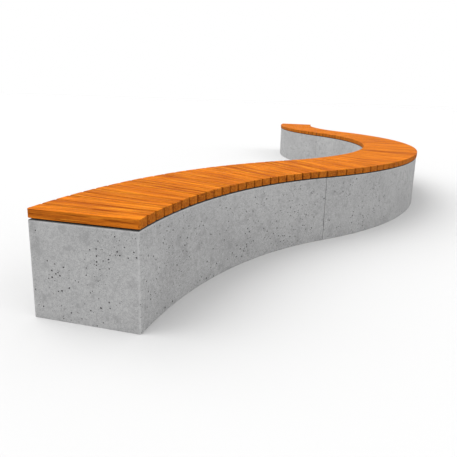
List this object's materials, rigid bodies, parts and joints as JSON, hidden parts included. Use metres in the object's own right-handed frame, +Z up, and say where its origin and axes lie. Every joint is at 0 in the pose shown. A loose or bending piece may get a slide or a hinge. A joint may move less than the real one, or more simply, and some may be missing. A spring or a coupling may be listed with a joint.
{
  "type": "bench",
  "caption": "Serpentine backless street bench: curved concrete blocks set end to end in a wave, topped with a deck of tapered timber slats on hidden steel bearers.",
  "frame": {"origin": "on the ground at the middle of the bench's bounding box", "axes": "+X along the bench, the straight line between its ends; +Y across it, towards the hollow side of the middle bay; +Z up"},
  "size_m": [6.2206, 1.763, 0.45],
  "materials": {
    "concrete": "light grey cast concrete, matte, with small air holes and faint cloudy mottling",
    "timber": "orange-brown oiled hardwood, satin, grain along each slat",
    "steel": "dull galvanised steel"
  },
  "bodies": {
    "root": {"concrete_block_1": "concrete", "bearer_inner_1": "steel", "bearer_outer_1": "steel", "slat_pair_1_01": "timber", "slat_pair_1_02": "timber", "slat_pair_1_03": "timber", "slat_pair_1_04": "timber", "slat_pair_1_05": "timber", "slat_pair_1_06": "timber", "slat_pair_1_07": "timber", "slat_pair_1_08": "timber", "slat_pair_1_09": "timber", "slat_pair_1_10": "timber", "slat_pair_1_11": "timber", "slat_end_1": "timber", "concrete_block_2": "concrete", "bearer_inner_2": "steel", "bearer_outer_2": "steel", "slat_pair_2_01": "timber", "slat_pair_2_02": "timber", "slat_pair_2_03": "timber", "slat_pair_2_04": "timber", "slat_pair_2_05": "timber", "slat_pair_2_06": "timber", "slat_pair_2_07": "timber", "slat_pair_2_08": "timber", "slat_pair_2_09": "timber", "slat_pair_2_10": "timber", "slat_pair_2_11": "timber", "slat_end_2": "timber", "concrete_block_3": "concrete", "bearer_inner_3": "steel", "bearer_outer_3": "steel", "slat_pair_3_01": "timber", "slat_pair_3_02": "timber", "slat_pair_3_03": "timber", "slat_pair_3_04": "timber", "slat_pair_3_05": "timber", "slat_pair_3_06": "timber", "slat_pair_3_07": "timber", "slat_pair_3_08": "timber", "slat_pair_3_09": "timber", "slat_pair_3_10": "timber", "slat_pair_3_11": "timber", "slat_end_3": "timber", "concrete_block_4": "concrete", "bearer_inner_4": "steel", "bearer_outer_4": "steel", "slat_pair_4_01": "timber", "slat_pair_4_02": "timber", "slat_pair_4_03": "timber", "slat_pair_4_04": "timber", "slat_pair_4_05": "timber", "slat_pair_4_06": "timber", "slat_pair_4_07": "timber", "slat_pair_4_08": "timber", "slat_pair_4_09": "timber", "slat_pair_4_10": "timber", "slat_pair_4_11": "timber", "slat_end_4": "timber"}
  },
  "joints": []
}
